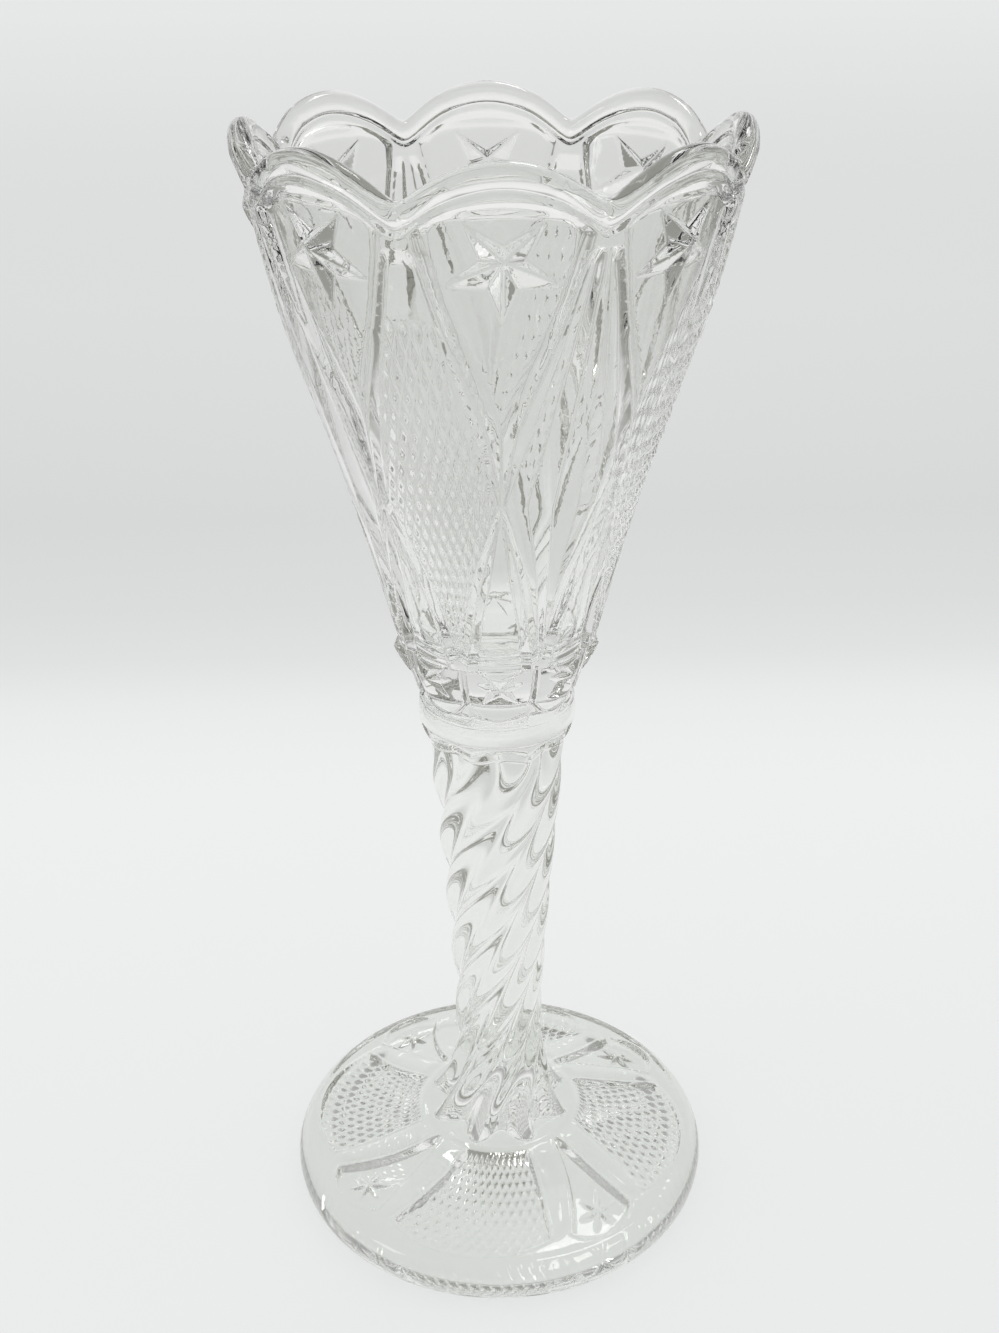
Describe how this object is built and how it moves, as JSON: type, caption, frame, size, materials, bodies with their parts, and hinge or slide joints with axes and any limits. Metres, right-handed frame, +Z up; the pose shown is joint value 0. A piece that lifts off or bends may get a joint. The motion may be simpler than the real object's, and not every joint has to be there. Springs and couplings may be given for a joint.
{
  "type": "chalice vase",
  "caption": "Tall footed vase of clear pressed glass: scalloped tapering bowl with stars and hobnail, twisted stem and round foot, for cut flowers.",
  "frame": {"origin": "middle of the foot's underside, on the plane the vase stands on", "axes": "+Z up along the stem; one rim lobe and its teardrop window face -Y, the front"},
  "size_m": [0.0994, 0.0994, 0.25],
  "materials": {
    "bowl_glass": "clear colourless pressed glass, fire-polished, with pressed relief outside and smooth inside",
    "collar_glass": "clear colourless glass, solid, fire-polished",
    "stem_glass": "clear colourless glass, solid, twisted while hot, fire-polished",
    "foot_glass": "clear colourless pressed glass, with pressed relief on top and a flat resting ring below"
  },
  "bodies": {
    "root": {"bowl": "bowl_glass", "collar": "collar_glass", "stem": "stem_glass", "foot": "foot_glass"}
  },
  "joints": []
}
